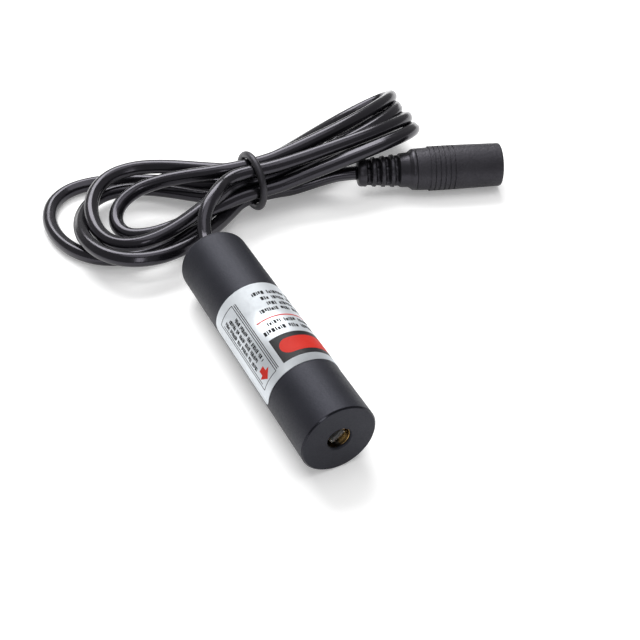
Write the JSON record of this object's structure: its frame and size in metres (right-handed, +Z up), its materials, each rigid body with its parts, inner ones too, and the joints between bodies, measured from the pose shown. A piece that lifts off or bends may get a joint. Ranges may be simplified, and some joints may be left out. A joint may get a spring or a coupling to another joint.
{
  "type": "laser diode line module",
  "caption": "Black metal barrel with a front beam aperture, line lens, focusing cell and driver board inside, a foil band outside, and a wound power cord ending in an in-line DC socket.",
  "frame": {"origin": "on the floor, under the middle of the barrel's length", "axes": "+X along the barrel towards the beam's exit, +Z up from the floor, +Y towards the tied cord's folds"},
  "size_m": [0.1129, 0.113, 0.0162],
  "materials": {
    "barrel": "black anodised, satin, fine grain",
    "foil": "thin printed silver foil, satin",
    "rear_cap": "matte moulded",
    "rubber": "satin rubber",
    "cord": "glossy soft jacket",
    "core_red": "soft gloss",
    "core_black": "soft gloss",
    "brass": "turned",
    "glass": "clear, polished",
    "spring": "drawn wire",
    "gold": "gold plated",
    "can": "plated, smooth",
    "board": "lacquered board",
    "chip": "moulded",
    "capacitor": "ceramic",
    "trimmer": "moulded",
    "relief": "smooth satin moulding",
    "plug": "fine matte grain",
    "insert": "hard, smooth",
    "contact": "nickel plated"
  },
  "bodies": {
    "root": {"barrel": "barrel", "foil_label": "foil", "rear_cap": "rear_cap", "cable_grommet": "rubber", "cord_tail": "cord", "core_red": "core_red", "core_black": "core_black", "line_lens_cell": "brass", "line_lens": "glass", "diode_holder": "brass", "collimator_cell": "brass", "collimating_lens": "glass", "lens_ring": "brass", "focus_spring": "spring", "diode_base": "gold", "diode_can": "can", "diode_window": "glass", "diode_pins": "gold", "driver_board": "board", "driver_chip": "chip", "resistors": "chip", "capacitor": "capacitor", "trimmer": "trimmer", "tie_band": "rubber", "cord_hank": "cord", "module_lead": "cord", "plug_lead": "cord", "plug_relief": "relief", "plug_body": "plug", "socket_insert": "insert", "centre_pin": "contact", "outer_contact": "contact"}
  },
  "joints": []
}
